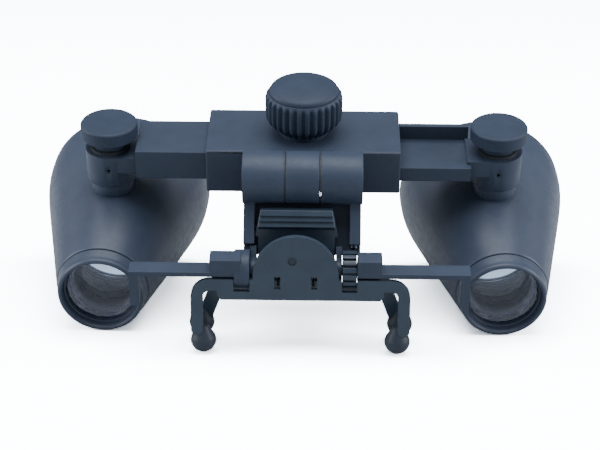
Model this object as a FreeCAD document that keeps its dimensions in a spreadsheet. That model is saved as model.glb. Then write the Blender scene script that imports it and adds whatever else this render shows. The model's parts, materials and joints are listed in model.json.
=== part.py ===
import FreeCAD, Part
import Sketcher
import math
import os
import re

# Clip-on flip-up binocular loupes. The loupes stand on a table on their two barrels.
# Each sub-part is built in the level frame of the bridge: origin at the bridge's centre,
# X to the wearer's right, Y forwards, Z up along the post axes. The whole assembly is then
# tilted back by stand_tilt about X and lifted, so that the barrels rest on Z = 0.

Vector = FreeCAD.Vector
Rotation = FreeCAD.Rotation
Placement = FreeCAD.Placement

DIMENSIONS = [
    # bridge housing, a sleeve along X with the middle knuckle of the flip hinge
    ("housing_width", 32.0),
    ("housing_depth", 13.8),
    ("housing_height", 7.8),
    ("slot_depth", 10.5),
    ("slot_height", 5.1),
    ("housing_edge", 0.4),
    # sliding arms: a plate, a wall, a rack slot and a boss for the barrel
    ("arm_depth", 10.4),
    ("arm_height", 5.0),
    ("arm_wall", 1.0),
    ("arm_gap", 0.1),
    ("arm_overlap", 9.2),
    ("wall_overlap", 4.0),
    ("notch_reach", 15.2),
    ("post_x", 32.5),
    ("boss_radius", 4.15),
    ("boss_top", 0.5),
    ("boss_bottom", -5.1),
    ("web_half", 3.9),
    ("web_overlap", 0.6),
    ("knob_room", 0.15),
    ("screw_gap", 0.1),
    ("plate_end_x", 27.8),
    # rack and pinion
    ("pinion_teeth", 14),
    ("tooth_module", 0.4),
    ("pinion_tip_radius", 3.12),
    ("pinion_root_radius", 2.3),
    ("pinion_half", 2.4),
    ("rack_travel_in", 5.5),
    ("rack_travel_out", 3.5),
    ("pinion_clearance", 0.25),
    ("rack_dedendum", 1.3),
    ("rack_addendum", 0.75),
    ("journal_radius", 1.6),
    ("lower_journal_radius", 1.3),
    ("shaft_bottom", -4.7),
    ("circlip_low", -4.45),
    ("circlip_radius", 2.3),
    ("circlip_thickness", 0.4),
    ("circlip_groove", 0.25),
    ("spindle_radius", 1.25),
    ("running_gap", 0.05),
    ("bush_radius", 3.55),
    ("bush_flange_radius", 4.0),
    ("bush_flange", 0.15),
    # centre knob
    ("knob_base_z", 4.15),
    ("knob_base_radius", 4.2),
    ("knob_flute_z", 6.7),
    ("knob_radius", 6.4),
    ("knob_shoulder_z", 10.7),
    ("dome_radius", 5.7),
    ("dome_z", 11.35),
    ("knob_top_z", 12.25),
    ("knob_crown", 0.5),
    ("knob_flutes", 24),
    # lock knobs, their screws and washers
    ("lock_knob_radius", 4.75),
    ("lock_knob_bottom", 2.65),
    ("lock_knob_top", 5.2),
    ("lock_neck_radius", 2.7),
    ("lock_screw_radius", 1.2),
    ("lock_screw_depth", 7.2),
    ("swivel_washer", 0.25),
    ("set_screw_z", -1.9),
    ("set_screw_radius", 0.5),
    ("set_screw_length", 1.4),
    ("washer_radius", 3.3),
    ("swivel_washer_radius", 3.4),
    # telescope barrels, measured along their own axis from the rear rim
    ("barrel_z", -18.0),
    ("barrel_rear", 17.6),
    ("barrel_length", 35.0),
    ("convergence", 3.0),
    ("stub_radius", 3.65),
    ("stub_fillet", 0.8),
    ("eyepiece_radius", 7.2),
    ("eyepiece_ring_length", 2.8),
    ("cone_start_radius", 7.75),
    ("cone_end", 27.0),
    ("cone_end_radius", 13.7),
    ("rim_radius", 14.4),
    ("rim_start", 31.0),
    ("shell_wall", 1.1),
    ("eyepiece_bore", 6.0),
    ("objective_bore", 12.2),
    ("baffle_start", 4.8),
    ("rib_count", 6),
    ("rib_step", 3.3),
    ("rib_growth", 0.84),
    ("first_valley", 6.1),
    ("rib_height", 0.9),
    ("rib_lead", 0.7),
    # upper (flip) hinge and link
    ("hinge_y", -11.4),
    ("hinge_z", 1.8),
    ("knuckle_radius", 4.3),
    ("knuckle_half", 2.8),
    ("knuckle_gap", 0.2),
    ("link_half", 9.7),
    ("hinge_pin_radius", 1.25),
    ("link_floor_low", 2.3),
    ("link_floor_high", 3.7),
    ("link_plate_setback", 2.6),
    ("link_wall", 1.8),
    ("link_wall_inset", 0.2),
    ("link_lug_x", 6.45),
    ("link_lug_width", 0.95),
    ("link_lug_height", 3.2),
    ("drum_clearance", 0.9),
    ("plunger_radius", 0.6),
    ("plunger_length", 2.9),
    ("plunger_z", 1.2),
    # lower hinge, on one pin with the jaws
    ("clip_x", -0.9),
    ("clip_y", -20.5),
    ("clip_z", -10.06),
    ("clip_pin_radius", 0.9),
    ("drum_radius", 3.2),
    ("drum_inner", 7.45),
    ("drum_outer", 9.8),
    ("drum_grooves", 16),
    ("groove_depth", 0.5),
    ("bar_end", 13.8),
    ("strip_end", 27.4),
    ("strip_shift", 0.6),
    ("strip_thickness", 0.8),
    ("bar_back", 0.15),
    ("bar_front", -2.8),
    ("bar_bottom", 0.3),
    ("bar_top", 3.45),
    ("brow_leg_width", 1.5),
    ("brow_leg_drop", 5.9),
    # jaws
    ("near_lean", 14.6),
    ("far_lean", 18.0),
    ("jaw_plate", 1.1),
    ("near_plate_half", 12.8),
    ("near_plate_top", -0.75),
    ("near_plate_low", -4.2),
    ("near_ear_x", 5.25),
    ("ear_width", 1.0),
    ("window_low", -2.82),
    ("pad_z", -0.3),
    ("pad_slot_x", 2.95),
    ("far_plate", 1.0),
    ("far_plate_half", 12.6),
    ("far_plate_high", -2.3),
    ("far_plate_low", -4.6),
    ("far_plate_front", 0.2),
    ("far_ear_x", 4.1),
    ("lever_neck", 6.2),
    ("lever_shoulder", 6.7),
    ("lever_top", 9.6),
    ("tab_start", 6.9),
    ("tab_half", 5.8),
    ("tab_thickness", 1.3),
    ("tab_undercut", 0.7),
    ("ridge_depth", 0.4),
    ("near_offset", 3.0),
    ("far_offset", 1.9),
    ("hub_radius", 1.8),
    ("pad_radius", 6.9),
    ("leg_x", 16.68),
    ("leg_width", 1.95),
    ("leg_bottom", -10.4),
    ("leg_shift", 0.78),
    ("tip_radius", 2.1),
    ("tip_x", 15.75),
    ("far_tip_x", 16.3),
    ("tip_pair_y", -1.75),
    ("tip_pair_gap", 4.9),
    ("tip_drop", 11.0),
    ("spring_wire", 0.45),
    ("spring_coil_radius", 1.35),
    ("spring_turns", 14),
    ("spring_reach", 2.6),
    ("spring_back_reach", 1.7),
    # the standing pose on the table
    ("stand_tilt", 13.775),
    ("stand_height", 28.555),
    ("stand_shift", -1.766),
]

doc = FreeCAD.newDocument("dental_loupes")
sheet = doc.addObject("Spreadsheet::Sheet", "dims")
sub_parts = []


def fill_sheet():
    """Write one dimension per row: its name in column A and its value in column B."""
    for row, (alias, value) in enumerate(DIMENSIONS, start=1):
        sheet.set(f"A{row}", alias)
        sheet.set(f"B{row}", str(value))
        sheet.setAlias(f"B{row}", alias)
    doc.recompute()


def cell(alias):
    """The number held by a named cell."""
    return float(getattr(sheet, alias))


def bound(expression):
    """Put the sheet's name before each alias of an expression."""
    return re.sub(r"[A-Za-z_]\w*", lambda word: "dims." + word.group(), expression)


def value_of(expression):
    """The number that an expression over the sheet's names gives now."""
    result = sheet.evalExpression(bound(expression))
    return float(getattr(result, "Value", result))


def bind(thing, prop, expression):
    """Drive a property by an expression over the sheet's names."""
    thing.setExpression(prop, bound(expression))


def standing():
    """The placement that stands the level assembly on the table."""
    lift = Vector(0, cell("stand_shift"), cell("stand_height"))
    return Placement(lift, Rotation(Vector(1, 0, 0), cell("stand_tilt")))


def finish_part(thing, label, local=None):
    """Label a sub-part, stand it up and keep it for the export."""
    thing.Label = label
    thing.Placement = standing().multiply(local or Placement())
    sub_parts.append(thing)
    return thing


def new_body(name):
    return doc.addObject("PartDesign::Body", name)


def plane(body, role):
    return next(item for item in body.Origin.OriginFeatures if item.Role == role)


def sketch_on(body, role, offset=None, turn=0.0, shift=None):
    """A sketch on an origin plane, moved along the plane's normal and turned about its x axis."""
    sketch = body.newObject("Sketcher::SketchObject", body.Name + "_sketch")
    sketch.AttachmentSupport = [(plane(body, role), "")]
    sketch.MapMode = "FlatFace"
    move = Vector(*shift) if shift else Vector()
    sketch.AttachmentOffset = Placement(move, Rotation(Vector(1, 0, 0), turn))
    if offset is not None:
        bind(sketch, "AttachmentOffset.Base.z", offset)
    return sketch


def pin_point(sketch, index, end, x, y):
    """Hold one point of a sketch at two expressions over the sheet."""
    for kind, axis, expression in (("DistanceX", -2, x), ("DistanceY", -1, y)):
        number = value_of(expression)
        if abs(number) < 1e-9:
            sketch.addConstraint(Sketcher.Constraint("PointOnObject", index, end, axis))
        else:
            where = sketch.addConstraint(Sketcher.Constraint(kind, -1, 1, index, end, number))
            bind(sketch, f"Constraints[{where}]", expression)


def outline(sketch, points):
    """A closed outline of straight lines through points given as expressions."""
    places = [Vector(value_of(x), value_of(y), 0) for x, y in points]
    count = len(points)
    first = sketch.GeometryCount
    for number in range(count):
        line = Part.LineSegment(places[number], places[(number + 1) % count])
        sketch.addGeometry(line, False)
    for number in range(count):
        following = first + (number + 1) % count
        sketch.addConstraint(Sketcher.Constraint("Coincident", first + number, 2, following, 1))
    for number, (x, y) in enumerate(points):
        pin_point(sketch, first + number, 1, x, y)


def rectangle(sketch, x_low, x_high, y_low, y_high):
    outline(sketch, [(x_low, y_low), (x_high, y_low), (x_high, y_high), (x_low, y_high)])


def disc(sketch, x, y, radius):
    """A circle whose centre and radius are expressions."""
    centre = Vector(value_of(x), value_of(y), 0)
    index = sketch.addGeometry(Part.Circle(centre, Vector(0, 0, 1), value_of(radius)), False)
    where = sketch.addConstraint(Sketcher.Constraint("Radius", index, value_of(radius)))
    bind(sketch, f"Constraints[{where}]", radius)
    pin_point(sketch, index, 3, x, y)


def pad(body, sketch, length, both=False, down=False):
    feature = body.newObject("PartDesign::Pad", body.Name + "_pad")
    feature.Profile = sketch
    feature.Midplane = both
    feature.Reversed = down
    bind(feature, "Length", length)
    return feature


def pocket(body, sketch, length, both=False, down=False):
    feature = body.newObject("PartDesign::Pocket", body.Name + "_pocket")
    feature.Profile = sketch
    feature.Midplane = both
    feature.Reversed = down
    bind(feature, "Length", length)
    return feature


def revolve(body, sketch, cut=False):
    """Turn a profile a full circle about the sketch's vertical axis."""
    kind = "PartDesign::Groove" if cut else "PartDesign::Revolution"
    feature = body.newObject(kind, body.Name + ("_groove" if cut else "_turn"))
    feature.Profile = sketch
    feature.ReferenceAxis = (sketch, ["V_Axis"])
    feature.Angle = 360.0
    return feature


def ring_pattern(body, feature, count, role="Z_Axis"):
    """Repeat a feature evenly about an axis of the body."""
    pattern = body.newObject("PartDesign::PolarPattern", body.Name + "_pattern")
    pattern.Originals = [feature]
    pattern.Axis = (plane(body, role), [""])
    pattern.Angle = 360.0
    pattern.Occurrences = int(count)
    body.Tip = pattern
    return pattern


def turned_body(name, profile, role="XZ_Plane"):
    """A body turned from one closed profile of (radius, height) expressions."""
    body = new_body(name)
    sketch = sketch_on(body, role)
    outline(sketch, profile)
    revolve(body, sketch)
    return body


def bridge_housing():
    body = new_body("bridge_housing")
    block = sketch_on(body, "YZ_Plane")
    rectangle(block, "-housing_depth / 2", "housing_depth / 2", "-housing_height / 2", "housing_height / 2")
    pad(body, block, "housing_width", both=True)
    neck = sketch_on(body, "YZ_Plane")
    rectangle(neck, "hinge_y", "-housing_depth / 2 + 0.5", "-2.2", "housing_height / 2 - 0.3")
    pad(body, neck, "2 * knuckle_half", both=True)
    knuckle = sketch_on(body, "YZ_Plane")
    disc(knuckle, "hinge_y", "hinge_z", "knuckle_radius")
    pad(body, knuckle, "2 * knuckle_half", both=True)
    slot = sketch_on(body, "YZ_Plane")
    rectangle(slot, "-slot_depth / 2", "slot_depth / 2", "-slot_height / 2", "slot_height / 2")
    pocket(body, slot, "housing_width + 2", both=True)
    pin_hole = sketch_on(body, "YZ_Plane")
    disc(pin_hole, "hinge_y", "hinge_z", "hinge_pin_radius + running_gap")
    pocket(body, pin_hole, "2 * knuckle_half + 2", both=True)
    top_hole = sketch_on(body, "XY_Plane", "housing_height / 2")
    disc(top_hole, "0", "0", "bush_radius")
    pocket(body, top_hole, "( housing_height - slot_height ) / 2 + 0.5")
    low_hole = sketch_on(body, "XY_Plane", "-slot_height / 2")
    disc(low_hole, "0", "0", "lower_journal_radius + running_gap")
    pocket(body, low_hole, "( housing_height - slot_height ) / 2 + 0.5")
    return finish_part(body, "bridge_housing")


def arm(side, label):
    """A sliding arm: left is -1, with its plate on top; right is +1, the same section inverted."""
    half_depth = cell("arm_depth") / 2
    half_height = cell("arm_height") / 2
    gap = cell("arm_gap") / 2
    wall = cell("arm_wall")
    end = cell("plate_end_x")

    def block(x_low, x_high, y_low, y_high, z_low, z_high):
        """A box of the left arm, or its point reflection through the bridge's centre."""
        corner = Vector(x_low, y_low, z_low) if side < 0 else Vector(-x_high, -y_high, -z_high)
        return Part.makeBox(x_high - x_low, y_high - y_low, z_high - z_low, corner)

    plate = block(-end, cell("arm_overlap"), -half_depth, half_depth - wall - gap, gap, half_height)
    full = block(-end, -cell("notch_reach"), -half_depth, half_depth, gap, half_height)
    skirt = block(-end, cell("wall_overlap"), -half_depth, -half_depth + wall, -half_height, gap)
    section = plate.fuse([full, skirt])
    slack = cell("pinion_tip_radius") + cell("pinion_clearance")
    slot_in = -cell("rack_travel_in") - slack
    slot_out = cell("rack_travel_out") + slack
    pitch_radius = cell("pinion_teeth") * cell("tooth_module") / 2
    root = pitch_radius + cell("tooth_module") * cell("rack_dedendum")
    section = section.cut(block(slot_in, slot_out, -root, slack, -half_height, half_height))
    section = section.fuse(rack_teeth(side, slot_in, slot_out, pitch_radius, root, gap, half_height))
    post = side * cell("post_x")
    knob_room = cell("lock_knob_radius") + cell("knob_room")
    relief = Part.makeCylinder(knob_room, cell("housing_height"), Vector(post, 0, cell("boss_top")))
    web_start = end - cell("web_overlap")
    web_low = min(post, side * web_start)
    web = Part.makeBox(cell("post_x") - web_start, 2 * cell("web_half"), cell("boss_top") + half_height,
                       Vector(web_low, -cell("web_half"), -half_height))
    boss_height = cell("boss_top") - cell("boss_bottom")
    boss = Part.makeCylinder(cell("boss_radius"), boss_height, Vector(post, 0, cell("boss_bottom")))
    bore = Part.makeCylinder(cell("lock_screw_radius") + cell("screw_gap"), boss_height + 2,
                             Vector(post, 0, cell("boss_bottom") - 1))
    screw_start = Vector(post, -cell("boss_radius") - cell("screw_gap"), cell("set_screw_z"))
    screw = Part.makeCylinder(cell("set_screw_radius"), cell("set_screw_length") + 2 * cell("screw_gap"),
                              screw_start, Vector(0, 1, 0))
    shape = section.fuse([web, boss]).cut(relief).cut(bore).cut(screw).removeSplitter()
    feature = doc.addObject("Part::Feature", label)
    feature.Shape = shape.Solids[0]
    return finish_part(feature, label)


def rack_teeth(side, slot_in, slot_out, pitch_radius, root, z_low, z_high):
    """The straight teeth along one wall of an arm's slot, in mesh with the pinion at rest."""
    pitch = math.pi * cell("tooth_module")
    tip = pitch_radius - cell("tooth_module") * cell("rack_addendum")
    tip_half = pitch / 10
    root_half = 2.9 * tip_half
    end_room = 0.2
    teeth = []
    for number in range(math.ceil(slot_in / pitch), math.floor(slot_out / pitch) + 1):
        x = number * pitch
        if x - root_half < slot_in + end_room or x + root_half > slot_out - end_room:
            continue
        corners = [(x - root_half, -root - 0.1), (x + root_half, -root - 0.1),
                   (x + tip_half, -tip), (x - tip_half, -tip)]
        points = [Vector(a, b, z_low) if side < 0 else Vector(-a, -b, -z_high) for a, b in corners]
        face = Part.Face(Part.makePolygon(points + points[:1]))
        teeth.append(face.extrude(Vector(0, 0, z_high - z_low)))
    return teeth


def pinion_shaft():
    body = new_body("pinion_shaft")
    groove_floor = "lower_journal_radius - circlip_groove"
    profile = sketch_on(body, "XZ_Plane")
    outline(profile, [
        ("0", "shaft_bottom"), ("lower_journal_radius", "shaft_bottom"),
        ("lower_journal_radius", "circlip_low - 0.05"), (groove_floor, "circlip_low - 0.05"),
        (groove_floor, "circlip_low + circlip_thickness + 0.05"),
        ("lower_journal_radius", "circlip_low + circlip_thickness + 0.05"),
        ("lower_journal_radius", "-pinion_half"), ("pinion_root_radius", "-pinion_half"),
        ("pinion_root_radius", "pinion_half"), ("journal_radius", "pinion_half"),
        ("journal_radius", "knob_base_z"),
        ("spindle_radius", "knob_base_z"), ("spindle_radius", "dome_z - 1.5"), ("0", "dome_z - 1.5")])
    revolve(body, profile)
    tooth = sketch_on(body, "XY_Plane")
    half_root = 0.38
    half_tip = 0.13
    outline(tooth, [
        ("pinion_root_radius - 0.2", f"-{half_root}"), ("pinion_tip_radius", f"-{half_tip}"),
        ("pinion_tip_radius", f"{half_tip}"), ("pinion_root_radius - 0.2", f"{half_root}")])
    first = pad(body, tooth, "2 * pinion_half", both=True)
    ring_pattern(body, first, cell("pinion_teeth"))
    # A tooth points along X, so on either side a gap of the pinion faces the middle tooth of a rack.
    return finish_part(body, "pinion_shaft")


def pinion_bush():
    top = "housing_height / 2"
    inner = "journal_radius + running_gap"
    body = turned_body("pinion_bush", [
        (inner, "slot_height / 2 + 0.05"), ("bush_radius", "slot_height / 2 + 0.05"), ("bush_radius", top),
        ("bush_flange_radius", top), ("bush_flange_radius", f"{top} + bush_flange"),
        (inner, f"{top} + bush_flange")])
    return finish_part(body, "pinion_bush")


def pinion_circlip():
    body = new_body("pinion_circlip")
    ring = sketch_on(body, "XY_Plane", "circlip_low")
    disc(ring, "0", "0", "circlip_radius")
    disc(ring, "0", "0", "lower_journal_radius - circlip_groove")
    pad(body, ring, "circlip_thickness")
    gap = sketch_on(body, "XY_Plane", "circlip_low + circlip_thickness")
    rectangle(gap, "0.5", "circlip_radius + 1", "-0.6", "0.6")
    pocket(body, gap, "circlip_thickness + 0.1")
    return finish_part(body, "pinion_circlip")


def pd_knob():
    body = turned_body("pd_knob", [
        ("spindle_radius", "knob_base_z"), ("knob_base_radius", "knob_base_z"),
        ("knob_radius - 0.3", "knob_flute_z - 0.3"), ("knob_radius", "knob_flute_z"),
        ("knob_radius", "knob_shoulder_z"), ("dome_radius", "dome_z"), ("dome_radius", "dome_z + 0.3"),
        ("dome_radius - 0.45", "knob_top_z"), ("dome_radius / 2", "knob_top_z + 0.8 * knob_crown"),
        ("0", "knob_top_z + knob_crown"), ("0", "dome_z - 1.5"), ("spindle_radius", "dome_z - 1.5")])
    flute = sketch_on(body, "XY_Plane", "knob_top_z + 1")
    disc(flute, "knob_radius + 0.15", "0", "0.5")
    cut = pocket(body, flute, "knob_top_z + 1 - knob_flute_z + 0.6")
    ring_pattern(body, cut, cell("knob_flutes"))
    return finish_part(body, "pd_knob")


def at_post(side):
    return Placement(Vector(side * cell("post_x"), 0, 0), Rotation())


def lock_knob(side, label):
    body = turned_body(label, [
        ("lock_screw_radius", "boss_top + 0.45"), ("lock_neck_radius", "boss_top + 0.45"),
        ("lock_neck_radius", "lock_knob_bottom"), ("lock_knob_radius - 0.25", "lock_knob_bottom"),
        ("lock_knob_radius", "lock_knob_bottom + 0.25"), ("lock_knob_radius", "lock_knob_top - 0.25"),
        ("lock_knob_radius - 0.25", "lock_knob_top"), ("0", "lock_knob_top"),
        ("0", "lock_knob_top - 0.6"), ("lock_screw_radius", "lock_knob_top - 0.6")])
    return finish_part(body, label, at_post(side))


def lock_screw(side, label):
    body = turned_body(label, [
        ("0", "-lock_screw_depth"), ("lock_screw_radius - 0.3", "-lock_screw_depth"),
        ("lock_screw_radius", "-lock_screw_depth + 0.3"), ("lock_screw_radius", "lock_knob_top - 0.6"),
        ("0", "lock_knob_top - 0.6")])
    return finish_part(body, label, at_post(side))


def lock_washer(side, label):
    inner = "lock_screw_radius + screw_gap"
    body = turned_body(label, [
        (inner, "boss_top + 0.02"), ("washer_radius", "boss_top + 0.02"), ("washer_radius", "boss_top + 0.42"),
        (inner, "boss_top + 0.42")])
    return finish_part(body, label, at_post(side))


def swivel_washer(side, label):
    inner = "lock_screw_radius + screw_gap"
    top = "boss_bottom - 0.02"
    low = "boss_bottom - 0.02 - swivel_washer"
    body = turned_body(label, [(inner, low), ("swivel_washer_radius", low), ("swivel_washer_radius", top),
                                (inner, top)])
    return finish_part(body, label, at_post(side))


def set_screw(side, label):
    body = new_body(label)
    ring = sketch_on(body, "XZ_Plane")
    disc(ring, "0", "0", "set_screw_radius")
    pad(body, ring, "set_screw_length", down=True)
    socket = sketch_on(body, "XZ_Plane")
    disc(socket, "0", "0", "set_screw_radius / 2")
    pocket(body, socket, "0.5")
    front = Vector(side * cell("post_x"), -cell("boss_radius") + cell("screw_gap"), cell("set_screw_z"))
    return finish_part(body, label, Placement(front, Rotation()))


def at_barrel(side):
    """The barrel's own frame: Y along its optical axis, origin under the post, toed inwards."""
    toe = Rotation(Vector(0, 0, 1), side * cell("convergence"))
    return Placement(Vector(side * cell("post_x"), 0, cell("barrel_z")), toe)


def along(distance):
    """A place on the optical axis, measured from the rear rim."""
    return f"{distance} - barrel_rear"


def barrel_shell(side, label):
    body = new_body(label)
    skin = sketch_on(body, "XY_Plane")
    outline(skin, [
        ("0", along("eyepiece_ring_length")), ("cone_start_radius", along("eyepiece_ring_length")),
        ("cone_end_radius", along("cone_end")), ("rim_radius - 0.15", along("rim_start - 1.6")),
        ("rim_radius", along("rim_start")), ("rim_radius", along("barrel_length - 0.4")),
        ("rim_radius - 0.4", along("barrel_length")), ("0", along("barrel_length"))])
    revolve(body, skin)
    stub = sketch_on(body, "XY_Plane", "6")
    disc(stub, "0", "0", "stub_radius")
    pad(body, stub, "boss_bottom - 0.04 - swivel_washer - barrel_z - 6")
    bore = sketch_on(body, "XY_Plane")
    outline(bore, [
        ("0", along("eyepiece_ring_length - 1")), ("eyepiece_bore + 0.5", along("eyepiece_ring_length - 1")),
        ("eyepiece_bore + 0.5", along("eyepiece_ring_length + 1")),
        ("cone_start_radius - shell_wall + 0.3", along("eyepiece_ring_length + 1.5")),
        ("cone_end_radius - shell_wall - 0.35", along("cone_end - 0.5")),
        ("objective_bore + 0.9", along("cone_end + 1")), ("objective_bore + 0.9", along("barrel_length + 1")),
        ("0", along("barrel_length + 1"))])
    revolve(body, bore, cut=True)
    hole = sketch_on(body, "XY_Plane", "boss_bottom - barrel_z")
    disc(hole, "0", "0", "lock_screw_radius + running_gap")
    pocket(body, hole, "lock_screw_depth + boss_bottom + 0.25")
    return finish_part(body, label, at_barrel(side))


def eyepiece_ring(side, label):
    body = turned_body(label, [
        ("eyepiece_bore", along("0.5")), ("eyepiece_bore + 0.35", along("0")),
        ("eyepiece_radius - 0.4", along("0")), ("eyepiece_radius", along("0.45")),
        ("eyepiece_radius", along("1.2")),
        ("cone_start_radius - 0.1", along("eyepiece_ring_length - 0.1")),
        ("eyepiece_bore + 0.45", along("eyepiece_ring_length - 0.1")),
        ("eyepiece_bore + 0.45", along("eyepiece_ring_length + 0.9")),
        ("eyepiece_bore", along("eyepiece_ring_length + 0.9"))], role="XY_Plane")
    return finish_part(body, label, at_barrel(side))


def eyepiece_lens(side, label):
    body = turned_body(label, [
        ("0", along("3.6")), ("eyepiece_bore / 2", along("3.3")), ("eyepiece_bore - 0.3", along("2.4")),
        ("eyepiece_bore - 0.05", along("2.4")), ("eyepiece_bore - 0.05", along("4.4")),
        ("0", along("4.4"))], role="XY_Plane")
    return finish_part(body, label, at_barrel(side))


def ribbed_baffle(side, label):
    """A thin conical tube inside the barrel, stepped inside into light-trapping ribs."""
    start = cell("baffle_start")
    step = cell("rib_step")
    growth = cell("rib_growth")
    first_valley = cell("first_valley")
    rib_height = cell("rib_height")
    rib_lead = cell("rib_lead")
    profile = [("cone_start_radius - shell_wall", along(start)),
               ("cone_end_radius - shell_wall - 0.5", along("cone_end - 0.8")),
               ("cone_end_radius - shell_wall - 1.4", along("cone_end - 0.8"))]
    for number in range(int(cell("rib_count")), 0, -1):
        valley = first_valley + growth * number
        crest = valley - growth - rib_height
        profile.append((f"{valley}", along(start + number * step - rib_lead)))
        if number > 1:
            profile.append((f"{crest}", along(start + (number - 1) * step)))
    profile.append(("first_valley - 0.2", along(start)))
    body = turned_body(label, profile, role="XY_Plane")
    return finish_part(body, label, at_barrel(side))


def objective_lens(side, label):
    body = turned_body(label, [
        ("0", along("cone_end + 0.6")), ("objective_bore / 2", along("cone_end + 0.75")),
        ("objective_bore + 0.8", along("cone_end + 1.3")), ("objective_bore + 0.8", along("cone_end + 4")),
        ("objective_bore", along("cone_end + 4.2")), ("objective_bore / 2", along("cone_end + 5.2")),
        ("0", along("cone_end + 5.6"))], role="XY_Plane")
    return finish_part(body, label, at_barrel(side))


def objective_ring(side, label):
    low = along("cone_end + 4.4")
    high = along("barrel_length - 0.3")
    body = turned_body(label, [
        ("objective_bore + 0.2", low), ("objective_bore + 0.85", low), ("objective_bore + 0.85", high),
        ("objective_bore + 0.2", high)], role="XY_Plane")
    return finish_part(body, label, at_barrel(side))


def link_frame():
    """The link's own frame: origin on the flip hinge, Y towards the clip pin, Z to its underside."""
    rise = cell("clip_z") - cell("hinge_z")
    run = cell("clip_y") - cell("hinge_y")
    turn = math.degrees(math.atan2(rise, run))
    return Placement(Vector(0, cell("hinge_y"), cell("hinge_z")), Rotation(Vector(1, 0, 0), turn))


def link_length():
    return math.hypot(cell("clip_z") - cell("hinge_z"), cell("clip_y") - cell("hinge_y"))


def link_wall_end():
    """How far the link's side walls reach, just short of the drums on the clip pin."""
    return link_length() - cell("drum_radius") - cell("drum_clearance")


def flip_link():
    half = cell("link_half")
    length = link_length()
    inner = cell("knuckle_half") + cell("knuckle_gap")
    floor_low = cell("link_floor_low")
    floor_high = cell("link_floor_high")
    wall = cell("link_wall")
    wall_x = half - cell("link_wall_inset")
    hub = cell("hub_radius")
    lug_width = cell("link_lug_width")
    knuckles = [Part.makeCylinder(cell("knuckle_radius"), half - inner, Vector(x, 0, 0), Vector(1, 0, 0))
                for x in (-half, inner)]
    plate_start = 0.5
    plate_end = length - cell("link_plate_setback")
    plate = Part.makeBox(2 * wall_x, plate_end - plate_start, floor_high - floor_low,
                         Vector(-wall_x, plate_start, floor_low))
    wall_low = -0.4
    walls = [Part.makeBox(wall, link_wall_end(), floor_high - wall_low, Vector(x, 0, wall_low))
             for x in (-wall_x, wall_x - wall)]
    lugs = []
    for side in (-1, 1):
        x = cell("clip_x") + (cell("link_lug_x") if side > 0 else -cell("link_lug_x") - lug_width)
        root = Vector(x, plate_end - 1.2, 0)
        lugs.append(Part.makeCylinder(hub, lug_width, Vector(x, length, 0), Vector(1, 0, 0)))
        lugs.append(Part.makeBox(lug_width, cell("link_plate_setback"), cell("link_lug_height"), root))
        lugs.append(Part.makeBox(lug_width, 1.4, hub, Vector(x, length - 1.4, 0)))
    shape = knuckles[0].fuse(knuckles[1:] + [plate] + walls + lugs)
    room = cell("knuckle_radius") + 0.25
    clearance = Part.makeCylinder(room, 2 * inner, Vector(-inner, 0, 0), Vector(1, 0, 0))
    neck = Part.makeBox(2 * inner, room, 3 * room, Vector(-inner, 2.0 - room, -1.5 * room))
    pin_bore = x_rod(cell("hinge_pin_radius"), -half - 1, half + 1)
    clip_bore = x_rod(cell("clip_pin_radius"), -half, half, y=length)
    plunger_bore = Part.makeCylinder(cell("plunger_radius"), cell("plunger_length") + 0.3,
                                     Vector(plunger_x(), link_wall_end() - cell("plunger_length") - 0.1,
                                            cell("plunger_z")), Vector(0, 1, 0))
    shape = shape.cut([clearance, neck, pin_bore, clip_bore, plunger_bore]).removeSplitter()
    feature = doc.addObject("Part::Feature", "flip_link")
    feature.Shape = shape.Solids[0]
    return finish_part(feature, "flip_link", link_frame())


def plunger_x():
    """The plunger sits in the link's right wall, in line with the outer edge of the toothed wheel."""
    return cell("clip_x") + cell("drum_outer") - 0.5


def detent_plunger():
    body = turned_body("detent_plunger", [
        ("0", "-plunger_length"), ("plunger_radius", "-plunger_length"), ("plunger_radius", "0.45"),
        ("plunger_radius / 2", "0.75"), ("0", "0.82")], role="XY_Plane")
    seat = Vector(plunger_x(), link_wall_end(), cell("plunger_z"))
    local = link_frame().multiply(Placement(seat, Rotation()))
    return finish_part(body, "detent_plunger", local)


def rod_along_x(label, radius, half_length, centre):
    body = new_body(label)
    ring = sketch_on(body, "YZ_Plane")
    disc(ring, "0", "0", radius)
    pad(body, ring, f"2 * {half_length}", both=True)
    return finish_part(body, label, Placement(centre, Rotation()))


def hinge_pin():
    return rod_along_x("hinge_pin", "hinge_pin_radius", "( link_half - 0.2 )",
                       Vector(0, cell("hinge_y"), cell("hinge_z")))


def hinge_washers():
    """Two thin friction washers, one in each gap of the flip hinge."""
    thickness = cell("knuckle_gap") - 0.04
    rings = []
    for x in (-cell("knuckle_half") - cell("knuckle_gap") + 0.02, cell("knuckle_half") + 0.02):
        outer = Part.makeCylinder(cell("knuckle_radius") - 0.05, thickness, Vector(x, 0, 0), Vector(1, 0, 0))
        hole = Part.makeCylinder(cell("hinge_pin_radius") + 0.05, 2, Vector(x - 1, 0, 0), Vector(1, 0, 0))
        rings.append(outer.cut(hole))
    feature = doc.addObject("Part::Feature", "hinge_washers")
    feature.Shape = Part.makeCompound(rings)
    centre = Vector(0, cell("hinge_y"), cell("hinge_z"))
    return finish_part(feature, "hinge_washers", Placement(centre, Rotation()))


def clip_centre():
    return Vector(cell("clip_x"), cell("clip_y"), cell("clip_z"))


def clip_pin():
    return rod_along_x("clip_pin", "clip_pin_radius", "( bar_end - 0.8 )", clip_centre())


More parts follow.
